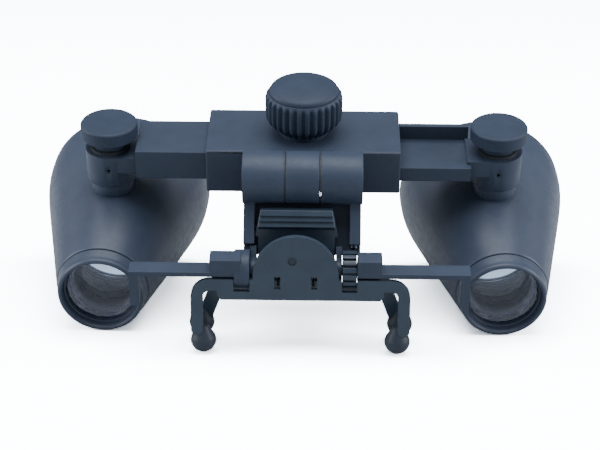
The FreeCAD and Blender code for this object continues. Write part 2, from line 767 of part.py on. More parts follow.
def brow_bar(side, label):
    """A square bar on the clip pin, its flat strip outwards and the strip's turned-down end."""
    front = cell("bar_front")
    depth = cell("bar_back") - front
    bottom = cell("bar_bottom")
    thickness = cell("strip_thickness")

    def block(x_low, x_high, z_low, z_high):
        low = x_low if side > 0 else -x_high
        return Part.makeBox(x_high - x_low, depth, z_high - z_low, Vector(low, front, z_low))

    hub_start = cell("drum_outer") + 0.05
    bar_start = hub_start if side > 0 else cell("drum_outer") - 1.0
    bar = block(bar_start, cell("bar_end"), bottom, cell("bar_top"))
    hub = Part.makeCylinder(cell("hub_radius"), cell("bar_end") - hub_start - 0.3,
                            Vector(hub_start if side > 0 else -cell("bar_end") + 0.3, 0, 0), Vector(1, 0, 0))
    strip_end = cell("strip_end") + side * cell("strip_shift")
    strip = block(cell("bar_end") - 1, strip_end, bottom, bottom + thickness)
    leg = block(strip_end - cell("brow_leg_width"), strip_end, bottom - cell("brow_leg_drop"), bottom + thickness)
    shape = bar.fuse([hub, strip, leg])
    if side < 0:
        drum_width = cell("drum_outer") - cell("drum_inner") + 0.1
        drum = Part.makeCylinder(cell("drum_radius"), drum_width,
                                 Vector(-cell("drum_outer") - 0.1, 0, 0), Vector(1, 0, 0))
        shape = shape.fuse(drum)
    bore = x_rod(cell("clip_pin_radius"), -cell("bar_end") - 1, cell("bar_end") + 1)
    shape = shape.cut(bore).removeSplitter()
    feature = doc.addObject("Part::Feature", label)
    feature.Shape = shape.Solids[0]
    return finish_part(feature, label, Placement(clip_centre(), Rotation()))


def detent_wheel():
    body = new_body("detent_wheel")
    wheel = sketch_on(body, "YZ_Plane", "drum_inner + 0.05")
    disc(wheel, "0", "0", "drum_radius - 0.05")
    disc(wheel, "0", "0", "clip_pin_radius + running_gap")
    pad(body, wheel, "drum_outer - drum_inner - 0.1")
    groove = sketch_on(body, "YZ_Plane", "drum_outer + 1")
    outline(groove, [("0.28", "drum_radius + 0.3"), ("-0.28", "drum_radius + 0.3"),
                     ("-0.16", "drum_radius - groove_depth"), ("0.16", "drum_radius - groove_depth")])
    cut = pocket(body, groove, "drum_outer - drum_inner + 2")
    ring_pattern(body, cut, cell("drum_grooves"), role="X_Axis")
    return finish_part(body, "detent_wheel", Placement(clip_centre(), Rotation()))


def plate_at(points, y_low, y_high):
    """A flat plate from an outline of (x, z) points, between two values of y."""
    wire = Part.makePolygon([Vector(x, y_low, z) for x, z in points + points[:1]])
    return Part.Face(wire).extrude(Vector(0, y_high - y_low, 0))


def hub_ears(x_inner, width, y_reach, radius):
    """A pair of ears on the clip pin, each reaching along y to its plate."""
    ears = []
    for x in (x_inner, -x_inner - width):
        ears.append(Part.makeCylinder(radius, width, Vector(x, 0, 0), Vector(1, 0, 0)))
        low, high = sorted((0.0, y_reach))
        ears.append(Part.makeBox(width, high - low, 2 * radius - 0.4, Vector(x, low, -radius + 0.2)))
    return ears


def x_rod(radius, x_low, x_high, y=0.0, z=0.0):
    return Part.makeCylinder(radius, x_high - x_low, Vector(x_low, y, z), Vector(1, 0, 0))


def jaw_leg(side, x_outer, width, top, bottom, plate_x, y_low, y_high):
    """A J-shaped strap: level from the plate, then round a bend and down to a rounded end."""
    bend = 3.0
    shift = cell("leg_shift")
    outer = x_outer
    inner = outer - width
    inner_bend = bend - width
    quarter = math.sqrt(0.5)

    def at(x, z):
        return Vector(side * x + shift, y_low, z)

    end_radius = width / 2
    centre = outer - bend
    edges = [
        Part.LineSegment(at(plate_x, top), at(centre, top)).toShape(),
        Part.Arc(at(centre, top), at(centre + bend * quarter, top - bend * (1 - quarter)),
                 at(outer, top - bend)).toShape(),
        Part.LineSegment(at(outer, top - bend), at(outer, bottom + end_radius)).toShape(),
        Part.Arc(at(outer, bottom + end_radius), at(outer - end_radius, bottom),
                 at(inner, bottom + end_radius)).toShape(),
        Part.LineSegment(at(inner, bottom + end_radius), at(inner, top - bend)).toShape(),
        Part.Arc(at(inner, top - bend),
                 at(centre + inner_bend * quarter, top - bend + inner_bend * quarter),
                 at(centre, top - width)).toShape(),
        Part.LineSegment(at(centre, top - width), at(plate_x, top - width)).toShape(),
        Part.LineSegment(at(plate_x, top - width), at(plate_x, top)).toShape()]
    face = Part.Face(Part.Wire(edges))
    return face.extrude(Vector(0, y_high - y_low, 0))


def near_jaw_frame():
    return Placement(clip_centre(), Rotation(Vector(1, 0, 0), -cell("near_lean")))


def near_jaw_shape():
    """Plate across the clip, round thumb pad, two ears on the pin and the two J-legs."""
    front = -cell("near_offset")
    thickness = cell("jaw_plate")
    back = front + thickness
    top = cell("near_plate_top")
    low = cell("near_plate_low")
    half = cell("near_plate_half")
    flare = 0.6
    shift = cell("leg_shift")
    profile = [(-half, low), (half, low), (half + flare, low + 0.8), (half + flare, top),
               (-half - flare, top), (-half - flare, low + 0.8)]
    plate = plate_at([(x + shift, z) for x, z in profile], front, back)
    pad_radius = cell("pad_radius")
    pad_low = top - 0.25
    pad_disc = Part.makeCylinder(pad_radius, thickness, Vector(0, front, cell("pad_z")), Vector(0, 1, 0))
    below = Part.makeBox(4 * pad_radius, 4, 2 * pad_radius,
                         Vector(-2 * pad_radius, front - 1, pad_low - 2 * pad_radius))
    legs = [jaw_leg(side, cell("leg_x") + cell("leg_width") / 2, cell("leg_width"), top, cell("leg_bottom"),
                    half - 1, front, back) for side in (-1, 1)]
    ears = hub_ears(cell("near_ear_x"), cell("ear_width"), back - 0.2, cell("hub_radius"))
    shape = plate.fuse([pad_disc.cut(below)] + legs + ears)
    slot_width = 0.95
    for side in (-1, 1):
        beyond = 0.18 if side < 0 else 0.05
        ends = sorted((side * (cell("drum_inner") - 0.05), side * (cell("drum_outer") + beyond)))
        window = Part.makeBox(ends[1] - ends[0], 8, 12, Vector(ends[0], front - 1, cell("window_low")))
        slot = Part.makeBox(slot_width, 3, 2.1,
                            Vector(side * cell("pad_slot_x") - slot_width / 2, front - 0.5, -2.35))
        shape = shape.cut([window, slot])
    dimple = Part.makeCylinder(0.75, 0.35, Vector(-0.6, front, 2.4), Vector(0, 1, 0))
    bore = x_rod(cell("clip_pin_radius") + cell("running_gap"), -half, half)
    return shape.cut([dimple, bore]).removeSplitter()


def near_jaw():
    feature = doc.addObject("Part::Feature", "near_jaw")
    feature.Shape = near_jaw_shape().Solids[0]
    return finish_part(feature, "near_jaw", near_jaw_frame())


def ridged_tab(front, back):
    """The finger tab: three sawtooth ridges across the lever's top, with an undercut below them."""
    start = cell("tab_start")
    top = cell("lever_top")
    nose = front - cell("tab_thickness")
    ridges = 3
    pitch = (top - start) / ridges
    profile = [(back, start - cell("tab_undercut")), (front, start - cell("tab_undercut")), (nose, start)]
    for number in range(1, ridges + 1):
        z = start + number * pitch
        profile.append((nose + cell("ridge_depth"), z))
        if number < ridges:
            profile.append((nose, z))
    profile.append((back, top))
    low_half = cell("tab_half") + 0.5
    wire = Part.makePolygon([Vector(-low_half, y, z) for y, z in profile + profile[:1]])
    comb = Part.Face(wire).extrude(Vector(2 * low_half, 0, 0))
    taper = plate_at([(-low_half, start - 1), (low_half, start - 1), (cell("tab_half"), top),
                      (-cell("tab_half"), top)], nose - 1, back + 1)
    return comb.common(taper)


def far_jaw_shape():
    """Lever, ridged tab, ears, cross plate and tapered legs, in the upright frame of the clip pin."""
    lean = Rotation(Vector(1, 0, 0), -cell("far_lean"))
    front = cell("far_offset")
    back = front + cell("far_plate")
    neck = cell("lever_neck")
    shoulder = cell("lever_shoulder")
    right_edge = [(neck, -0.5), (neck, 4.8), (shoulder, 5.0), (cell("tab_half"), cell("lever_top"))]
    left_edge = [(-x, z) for x, z in reversed(right_edge)]
    lever = plate_at(right_edge + left_edge, front, back)
    ears = hub_ears(cell("far_ear_x"), cell("ear_width"), back - 0.1, cell("hub_radius"))
    lever = lever.fuse([ridged_tab(front, back)] + ears)
    lever.Placement = Placement(Vector(), lean)
    plate_y = (cell("far_plate_front"), cell("far_plate_front") + cell("far_plate"))
    shift = cell("leg_shift")
    low = cell("far_plate_low")
    high = cell("far_plate_high")
    half = cell("far_plate_half")
    cross = plate_at([(shift - half, low), (shift + half, low), (shift + half, high), (shift - half, high)],
                     *plate_y)
    web_width = cell("ear_width")
    webs = [Part.makeBox(web_width, cell("far_plate"), 3.3, Vector(x, plate_y[0], low + 0.6))
            for x in (cell("far_ear_x"), -cell("far_ear_x") - web_width)]
    parts = [cross] + webs
    leg_end = 0.6 - cell("tip_drop")
    reach = cell("far_tip_x")
    for side in (-1, 1):
        leg = [(half - 2, high), (half + 1.6, high), (reach + 0.9, leg_end), (reach - 1.6, leg_end),
               (half + 0.1, low), (half - 2, low)]
        parts.append(plate_at([(side * x + shift, z) for x, z in leg], *plate_y))
    shape = lever.fuse(parts)
    for x_low in (cell("drum_inner") - 0.3, -cell("drum_outer") - 0.3):
        x_high = x_low + cell("drum_outer") - cell("drum_inner") + 0.6
        shape = shape.cut(x_rod(cell("drum_radius") + 0.25, x_low, x_high))
    bore = x_rod(cell("clip_pin_radius") + cell("running_gap"), -half, half)
    return shape.cut(bore).removeSplitter()


def far_jaw():
    feature = doc.addObject("Part::Feature", "far_jaw")
    feature.Shape = far_jaw_shape().Solids[0]
    return finish_part(feature, "far_jaw", Placement(clip_centre(), Rotation()))


def boot_shape():
    """A teardrop boot about Z, origin at the centre of its round end."""
    radius = cell("tip_radius")
    quarter = math.sqrt(0.5)
    bottom = Vector(0, 0, -radius)
    widest = Vector(radius, 0, 0)
    shoulder = Vector(0.93 * radius, 0, radius / 3)
    collar = Vector(0.75, 0, 2.8)
    top = Vector(0, 0, 3.0)
    edges = [Part.Arc(bottom, Vector(radius * quarter, 0, -radius * quarter), widest).toShape()]
    for start, end in ((widest, shoulder), (shoulder, collar), (collar, top), (top, bottom)):
        edges.append(Part.LineSegment(start, end).toShape())
    face = Part.Face(Part.Wire(edges))
    return face.revolve(Vector(0, 0, 0), Vector(0, 0, 1), 360)


def boot(label, side, near):
    """A rubber boot on a leg, cut where the leg passes through it."""
    x = side * (cell("tip_x") if near else cell("far_tip_x")) + cell("leg_shift")
    y = cell("tip_pair_y") - cell("tip_pair_gap") / 2 if near else cell("tip_pair_y") + cell("tip_pair_gap") / 2
    shape = boot_shape()
    shape.translate(Vector(x, y, -cell("tip_drop")))
    jaw = near_jaw_shape() if near else far_jaw_shape()
    if near:
        jaw.Placement = Placement(Vector(), Rotation(Vector(1, 0, 0), -cell("near_lean")))
    solids = shape.cut(jaw).Solids
    feature = doc.addObject("Part::Feature", label)
    feature.Shape = max(solids, key=lambda solid: solid.Volume)
    return finish_part(feature, label, Placement(clip_centre(), Rotation()))


def jaw_spring():
    """A torsion spring on the clip pin: close rings, two ends to the thumb pad and one to the lever."""
    wire = cell("spring_wire") / 2
    coil = cell("spring_coil_radius")
    # Neighbouring rings bite into each other by a hair, which keeps the spring one solid.
    pitch = cell("spring_wire") * 0.96
    count = int(cell("spring_turns"))
    rings = []
    for number in range(count):
        x = (number - (count - 1) / 2) * pitch
        rings.append(Part.makeTorus(coil, wire, Vector(x, 0, 0), Vector(1, 0, 0)))
    end_x = (count - 1) / 2 * pitch
    reach = cell("spring_reach")
    legs = [Part.makeCylinder(wire, reach, Vector(side * end_x, -reach, -coil), Vector(0, 1, 0))
            for side in (-1, 1)]
    lean = math.radians(cell("far_lean"))
    back_leg = Part.makeCylinder(wire, cell("spring_back_reach"), Vector(0, 0, coil),
                                 Vector(0, math.cos(lean), -math.sin(lean)))
    shape = rings[0].fuse(rings[1:] + legs + [back_leg])
    feature = doc.addObject("Part::Feature", "jaw_spring")
    feature.Shape = shape.Solids[0]
    return finish_part(feature, "jaw_spring", Placement(clip_centre(), Rotation()))


def build():
    fill_sheet()
    bridge_housing()
    pd_knob()
    pinion_shaft()
    pinion_bush()
    pinion_circlip()
    paired = [("arm", arm), ("lock_knob", lock_knob), ("lock_screw", lock_screw),
              ("lock_washer", lock_washer), ("swivel_washer", swivel_washer), ("set_screw", set_screw),
              ("barrel_shell", barrel_shell), ("eyepiece_ring", eyepiece_ring),
              ("eyepiece_lens", eyepiece_lens), ("ribbed_baffle", ribbed_baffle),
              ("objective_lens", objective_lens), ("objective_ring", objective_ring),
              ("brow_bar", brow_bar)]
    for name, maker in paired:
        maker(-1, "left_" + name)
        maker(1, "right_" + name)
    hinge_pin()
    hinge_washers()
    flip_link()
    detent_plunger()
    clip_pin()
    detent_wheel()
    near_jaw()
    far_jaw()
    jaw_spring()
    for side, word in ((-1, "left"), (1, "right")):
        boot(f"near_{word}_tip", side, True)
        boot(f"far_{word}_tip", side, False)
    doc.recompute()


def check():
    for item in doc.Objects:
        broken = [word for word in item.State if word in ("Invalid", "Error")]
        if broken:
            raise RuntimeError(f"{item.Name} failed: {broken}")
    for part in sub_parts:
        if part.Shape.isNull() or not part.Shape.isValid():
            raise RuntimeError(f"{part.Label} has no valid shape")
        print(part.Label, round(part.Shape.Volume, 2), len(part.Shape.Solids))


def export():
    os.makedirs("parts", exist_ok=True)
    for part in sub_parts:
        part.Shape.exportStep(f"parts/{part.Label}.step")


build()
check()
export()
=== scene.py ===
import json
import math

import bmesh
import bpy
from mathutils import Matrix, Vector


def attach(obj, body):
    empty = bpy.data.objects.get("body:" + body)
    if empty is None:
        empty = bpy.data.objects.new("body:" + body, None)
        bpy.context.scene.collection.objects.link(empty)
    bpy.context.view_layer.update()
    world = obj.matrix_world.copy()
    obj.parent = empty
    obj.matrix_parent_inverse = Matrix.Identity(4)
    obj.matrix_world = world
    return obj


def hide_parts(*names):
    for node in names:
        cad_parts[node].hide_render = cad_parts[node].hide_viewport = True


# Clip-on flip-up binocular loupes standing on a white table. Shapes are written in millimetres
# in the local frame of a post, a pin or a barrel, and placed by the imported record's own joints.

MM = 0.001

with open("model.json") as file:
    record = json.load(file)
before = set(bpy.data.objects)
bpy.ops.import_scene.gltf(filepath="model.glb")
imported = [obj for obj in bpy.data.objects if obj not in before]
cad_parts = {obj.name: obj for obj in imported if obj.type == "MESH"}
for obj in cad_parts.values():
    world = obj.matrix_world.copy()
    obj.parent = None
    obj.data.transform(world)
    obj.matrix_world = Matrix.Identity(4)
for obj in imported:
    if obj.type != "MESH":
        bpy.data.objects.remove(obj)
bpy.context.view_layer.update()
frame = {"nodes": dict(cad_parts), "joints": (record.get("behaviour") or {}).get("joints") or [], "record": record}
nodes = frame["nodes"]
joints = {joint["name"]: joint for joint in frame["joints"]}
mounts = {mount["name"]: mount for mount in frame["record"]["mounts"]}
scene = bpy.context.scene


# ---------------------------------------------------------------- local frames

def local_frame(origin, up, right=(1, 0, 0)):
    """A frame at origin with Z along up and X as near as it can be to right."""
    z = Vector(up).normalized()
    y = z.cross(Vector(right)).normalized()
    x = y.cross(z)
    matrix = Matrix((x, y, z)).transposed().to_4x4()
    matrix.translation = Vector(origin)
    return matrix


UP = joints["pd_knob_turn"]["axis"]
LEVEL = local_frame(joints["pd_knob_turn"]["pos_m"], UP)
CLIP = local_frame(joints["clip_tilt"]["pos_m"], UP)
POST = {side: local_frame(joints[side + "_lock_turn"]["pos_m"], UP) for side in ("left", "right")}
OBJECTIVE_BAND_MIDDLE = 32.8


def barrel_frame(side):
    """Z forwards along the optical axis, origin in the plane of the rear rim."""
    mount = mounts[side + "_objective_rim"]
    axis = Vector(mount["axis"]).normalized()
    return local_frame(Vector(mount["pos_m"]) - axis * OBJECTIVE_BAND_MIDDLE * MM, axis)


BARREL = {side: barrel_frame(side) for side in ("left", "right")}


# ---------------------------------------------------------------- materials

def principled(name):
    material = bpy.data.materials.new(name)
    material.use_nodes = True
    tree = material.node_tree
    return material, tree, tree.nodes["Principled BSDF"]


def add(tree, kind, **values):
    node = tree.nodes.new(kind)
    for key, value in values.items():
        setattr(node, key, value)
    return node


def noise_of(tree, vector, scale, detail=3.0, rough=0.55):
    node = add(tree, "ShaderNodeTexNoise")
    node.inputs["Scale"].default_value = scale
    node.inputs["Detail"].default_value = detail
    node.inputs["Roughness"].default_value = rough
    tree.links.new(vector, node.inputs["Vector"])
    return node.outputs["Fac"]


def spread(tree, value, low, high):
    """Map a noise around 0.5 onto the range from low to high."""
    node = add(tree, "ShaderNodeMapRange")
    node.inputs["From Min"].default_value = 0.3
    node.inputs["From Max"].default_value = 0.7
    node.inputs["To Min"].default_value = low
    node.inputs["To Max"].default_value = high
    tree.links.new(value, node.inputs["Value"])
    return node.outputs["Result"]


def finish_material(name, dark, light, roughness, grain=0.0, grain_scale=9000.0, metallic=0.0,
                    specular=0.5, edge=0.0, stretch=(1, 1, 1)):
    """A coated surface: mottled colour, uneven gloss, fine grain, and edges shaded as if rounded."""
    material, tree, shader = principled(name)
    coordinates = add(tree, "ShaderNodeTexCoord").outputs["Object"]
    mapping = add(tree, "ShaderNodeMapping")
    mapping.inputs["Scale"].default_value = stretch
    tree.links.new(coordinates, mapping.inputs["Vector"])
    vector = mapping.outputs["Vector"]
    mottle = add(tree, "ShaderNodeMix", data_type="RGBA")
    mottle.inputs[6].default_value = (*dark, 1)
    mottle.inputs[7].default_value = (*light, 1)
    tree.links.new(spread(tree, noise_of(tree, vector, 260.0), 0.0, 1.0), mottle.inputs[0])
    tree.links.new(mottle.outputs[2], shader.inputs["Base Color"])
    uneven = spread(tree, noise_of(tree, vector, 900.0), roughness - 0.05, roughness + 0.06)
    tree.links.new(uneven, shader.inputs["Roughness"])
    shader.inputs["Metallic"].default_value = metallic
    shader.inputs["Specular IOR Level"].default_value = specular
    normal = None
    if edge > 0:
        rounded = add(tree, "ShaderNodeBevel", samples=6)
        rounded.inputs["Radius"].default_value = edge * MM
        normal = rounded.outputs["Normal"]
    if grain > 0:
        bump = add(tree, "ShaderNodeBump")
        bump.inputs["Strength"].default_value = grain
        bump.inputs["Distance"].default_value = 0.05 * MM
        tree.links.new(noise_of(tree, vector, grain_scale, detail=2.0), bump.inputs["Height"])
        if normal is not None:
            tree.links.new(normal, bump.inputs["Normal"])
        normal = bump.outputs["Normal"]
    if normal is not None:
        tree.links.new(normal, shader.inputs["Normal"])
    return material


def lens_material(name, tint):
    """Coated optical glass that lets light through to what is behind it."""
    material, tree, shader = principled(name)
    coordinates = add(tree, "ShaderNodeTexCoord").outputs["Object"]
    smear = spread(tree, noise_of(tree, coordinates, 500.0), 0.0, 0.008)
    tree.links.new(smear, shader.inputs["Roughness"])
    shader.inputs["Base Color"].default_value = (*tint, 1)
    shader.inputs["Transmission Weight"].default_value = 1.0
    shader.inputs["IOR"].default_value = 1.5
    shader.inputs["Specular IOR Level"].default_value = 0.2
    clear = add(tree, "ShaderNodeBsdfTransparent")
    clear.inputs["Color"].default_value = (*tint, 1)
    path = add(tree, "ShaderNodeLightPath")
    either = add(tree, "ShaderNodeMath", operation="MAXIMUM")
    tree.links.new(path.outputs["Is Shadow Ray"], either.inputs[0])
    tree.links.new(path.outputs["Is Diffuse Ray"], either.inputs[1])
    mix = add(tree, "ShaderNodeMixShader")
    tree.links.new(either.outputs[0], mix.inputs[0])
    tree.links.new(shader.outputs[0], mix.inputs[1])
    tree.links.new(clear.outputs[0], mix.inputs[2])
    tree.links.new(mix.outputs[0], tree.nodes["Material Output"].inputs["Surface"])
    return material


ANODISED = finish_material("anodised_black", (0.024, 0.034, 0.056), (0.028, 0.039, 0.064), 0.45,
                           grain=0.12, edge=0.22, specular=0.2)
BARREL_COAT = finish_material("barrel_black", (0.024, 0.034, 0.057), (0.028, 0.039, 0.065), 0.42,
                              grain=0.05, grain_scale=5000.0, specular=0.3)
KNOB_COAT = finish_material("knob_black", (0.020, 0.029, 0.048), (0.024, 0.034, 0.056), 0.5,
                            grain=0.15, specular=0.14)
CLIP_COAT = finish_material("clip_black", (0.018, 0.029, 0.047), (0.023, 0.036, 0.056), 0.34,
                            grain=0.10, edge=0.16, specular=0.3)
BAFFLE_COAT = finish_material("baffle_black", (0.048, 0.068, 0.155), (0.056, 0.078, 0.170), 0.5,
                              grain=0.05, specular=0.1)
STEEL = finish_material("turned_steel", (0.36, 0.39, 0.43), (0.46, 0.49, 0.53), 0.28, grain=0.08,
                        metallic=1.0, stretch=(1, 1, 6))
SPRING_STEEL = finish_material("spring_steel", (0.070, 0.085, 0.105), (0.100, 0.120, 0.145), 0.32,
                               grain=0.05, metallic=1.0)
POLYMER = finish_material("washer_polymer", (0.010, 0.014, 0.020), (0.014, 0.019, 0.027), 0.6,
                          grain=0.1)
BLACK_STEEL = finish_material("black_steel", (0.030, 0.040, 0.055), (0.042, 0.054, 0.072), 0.38,
                              grain=0.06, metallic=1.0)
RUBBER = finish_material("rubber_black", (0.012, 0.019, 0.030), (0.017, 0.025, 0.038), 0.50,
                         grain=0.22, grain_scale=6000.0, specular=0.3)
GLASS = lens_material("coated_glass", (0.78, 0.87, 1.0))

NODE_MATERIALS = {
    "anodised_black": ANODISED, "barrel_black": BARREL_COAT, "knob_black": KNOB_COAT,
    "clip_steel_black": CLIP_COAT, "matt_baffle": BAFFLE_COAT, "steel": STEEL,
    "spring_steel": SPRING_STEEL, "washer_polymer": POLYMER, "black_steel": BLACK_STEEL,
    "lens_glass": GLASS, "rubber_black": RUBBER}


# ---------------------------------------------------------------- mesh building

def make_object(name, vertices, faces, matrix, material, body, replaced=(), slot=None, sharp=38.0):
    """A mesh from millimetre vertices in a local frame, riding on a body in place of CAD nodes."""
    mesh = bpy.data.meshes.new(name)
    mesh.from_pydata([tuple(c * MM for c in vertex) for vertex in vertices], [], faces)
    mesh.transform(matrix)
    shape = bmesh.new()
    shape.from_mesh(mesh)
    bmesh.ops.remove_doubles(shape, verts=shape.verts, dist=1e-7)
    bmesh.ops.recalc_face_normals(shape, faces=shape.faces)
    shape.to_mesh(mesh)
    shape.free()
    for polygon in mesh.polygons:
        polygon.use_smooth = True
    mesh.set_sharp_from_angle(angle=math.radians(sharp))
    mesh.materials.append(material)
    piece = bpy.data.objects.new(name, mesh)
    scene.collection.objects.link(piece)
    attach(piece, body)
    if replaced:
        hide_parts(*replaced)
    return piece


def soften(points, closed=True, steps=4):
    """Round the corners of (x, y, radius) points; a radius of 0 keeps the corner."""
    count = len(points)
    result = []
    for number, (x, y, radius) in enumerate(points):
        corner = Vector((x, y))
        open_end = not closed and number in (0, count - 1)
        if radius <= 0 or open_end:
            result.append((x, y))
            continue
        before = Vector(points[number - 1][:2]) - corner
        after = Vector(points[(number + 1) % count][:2]) - corner
        cut_before = min(radius, before.length * 0.49)
        cut_after = min(radius, after.length * 0.49)
        start = corner + before.normalized() * cut_before
        end = corner + after.normalized() * cut_after
        for step in range(steps + 1):
            t = step / steps
            place = start * (1 - t) ** 2 + corner * 2 * t * (1 - t) + end * t * t
            result.append((place.x, place.y))
    return result


def lathe(profile, segments=144, closed=True, relief=None):
    """Turn (radius, height) points about Z. relief(angle, radius, height) adds to the radius."""
    vertices, faces, rings = [], [], []
    for radius, height in profile:
        if radius < 1e-6:
            rings.append([len(vertices)])
            vertices.append((0.0, 0.0, height))
            continue
        ring = []
        for number in range(segments):
            angle = 2 * math.pi * number / segments
            here = radius + (relief(angle, radius, height) if relief else 0.0)
            ring.append(len(vertices))
            vertices.append((here * math.cos(angle), here * math.sin(angle), height))
        rings.append(ring)
    pairs = list(zip(rings, rings[1:]))
    if closed:
        pairs.append((rings[-1], rings[0]))
    for low, high in pairs:
        if len(low) == 1 and len(high) == 1:
            continue
        for number in range(segments):
            after = (number + 1) % segments
            if len(low) == 1:
                faces.append((low[0], high[number], high[after]))
            elif len(high) == 1:
                faces.append((low[number], high[0], low[after]))
            else:
                faces.append((low[number], high[number], high[after], low[after]))
    return vertices, faces


def subdivided(points, longest):
    """Add points so that no step of an open profile is longer than longest."""
    result = [points[0]]
    for (x0, y0), (x1, y1) in zip(points, points[1:]):
        pieces = max(1, math.ceil(math.hypot(x1 - x0, y1 - y0) / longest))
        for step in range(1, pieces + 1):
            t = step / pieces
            result.append((x0 + (x1 - x0) * t, y0 + (y1 - y0) * t))
    return result


def tube(path, radius, segments=12):
    """A round wire along a path of points, with flat ends."""
    points = [Vector(point) for point in path]
    vertices, faces, rings = [], [], []
    normal = None
    for number, point in enumerate(points):
        ahead = points[min(number + 1, len(points) - 1)] - points[max(number - 1, 0)]
        tangent = ahead.normalized()
        if normal is None:
            helper = Vector((0, 0, 1)) if abs(tangent.z) < 0.9 else Vector((0, 1, 0))
            normal = tangent.cross(helper).normalized()
        normal = (normal - tangent * normal.dot(tangent)).normalized()
        side = tangent.cross(normal)
        ring = []
        for step in range(segments):
            angle = 2 * math.pi * step / segments
            ring.append(len(vertices))
            vertices.append(tuple(point + (normal * math.cos(angle) + side * math.sin(angle)) * radius))
        rings.append(ring)
    for low, high in zip(rings, rings[1:]):
        for step in range(segments):
            after = (step + 1) % segments
            faces.append((low[step], high[step], high[after], low[after]))
    faces.append(tuple(rings[0]))
    faces.append(tuple(reversed(rings[-1])))
    return vertices, faces


def joined(*meshes):
    """Several (vertices, faces) lists as one."""
    vertices, faces = [], []
    for more_vertices, more_faces in meshes:
        start = len(vertices)
        vertices.extend(more_vertices)
        faces.extend(tuple(index + start for index in face) for face in more_faces)
    return vertices, faces


# ---------------------------------------------------------------- knobs

KNOB_FLUTES = 30
FLUTE_DEPTH = 0.5
FLUTE_LOW, FLUTE_RISE = 4.5, 1.2
FLUTE_HIGH, FLUTE_FADE = 11.2, 0.7
KNOB_FOOT = 4.16


def clamped(value):
    """The value, held between 0 and 1."""
    return min(1.0, max(0.0, value))


def flute(angle, radius, height):
    """Scallops round the centre knob, fading out towards its neck and its crown."""
    share = 0.5 - 0.5 * math.cos(KNOB_FLUTES * angle)
    rise = clamped((height - FLUTE_LOW) / FLUTE_RISE)
    fade = clamped((FLUTE_HIGH - height) / FLUTE_FADE)
    return -FLUTE_DEPTH * rise * fade * share ** 1.5


def make_pd_knob():
    """Neck, fluted grip, shoulder and low dome, as (radius, height, rounding) about the pinion's axis."""
    grip = 6.38
    outline = soften([(4.0, KNOB_FOOT, 0), (4.2, KNOB_FOOT, 0.05), (4.3, 4.7, 0.3), (6.2, 6.5, 0.4),
                      (grip, 7.4, 0.5), (grip, 10.7, 0.4), (5.84, 11.38, 0.12), (5.68, 11.28, 0.04),
                      (5.69, 11.5, 0.1), (5.6, 11.9, 0.2), (5.15, 12.22, 0.4), (3.6, 12.55, 0.9),
                      (1.6, 12.7, 0.5), (0.0, 12.73, 0)], closed=False)
    outline = subdivided([(0.0, KNOB_FOOT)] + outline, 0.35)
    mesh = lathe(outline, segments=KNOB_FLUTES * 12, closed=False, relief=flute)
    make_object("pd_knob_body", *mesh, LEVEL, KNOB_COAT, "pd_drive", ["pd_knob"], "knob_black", sharp=45)


LOCK_RIM = 4.75
LOCK_NECK = 2.7
LOCK_BOTTOM, LOCK_UNDERSIDE, LOCK_TOP = 0.96, 2.66, 5.2
KNURL_LOW, KNURL_HIGH, KNURL_FADE = 2.95, 4.95, 0.15
KNURL_PITCH, KNURL_HEIGHT = 0.62, 0.09


def diamond(angle, radius, height):
    """Crossed knurling on the rim of a lock knob."""
    share = clamped((height - KNURL_LOW) / KNURL_FADE) * clamped((KNURL_HIGH - height) / KNURL_FADE)
    if radius < LOCK_RIM - 0.15 or share <= 0:
        return 0.0
    around = angle * LOCK_RIM
    first = math.sin(math.pi * (around + height) / KNURL_PITCH)
    second = math.sin(math.pi * (around - height) / KNURL_PITCH)
    return KNURL_HEIGHT * share * (min(abs(first), abs(second)) - 0.75)


def make_lock_knob(side):
    """A flat knurled disc on a plain neck."""
    disc = soften([(LOCK_NECK, LOCK_UNDERSIDE, 0), (4.45, LOCK_UNDERSIDE, 0.12), (LOCK_RIM, 2.92, 0.1),
                   (LOCK_RIM, 4.96, 0.1), (4.52, LOCK_TOP, 0.12), (2.0, LOCK_TOP, 0), (0.0, LOCK_TOP, 0)],
                  closed=False, steps=3)
    neck = [(0.0, LOCK_BOTTOM), (LOCK_NECK, LOCK_BOTTOM)]
    mesh = lathe(neck + subdivided(disc, 0.13), segments=300, closed=False, relief=diamond)
    make_object(side + "_lock_knob_body", *mesh, POST[side], KNOB_COAT, side + "_lock",
                [side + "_lock_knob"], "knob_black", sharp=45)


# ---------------------------------------------------------------- barrels

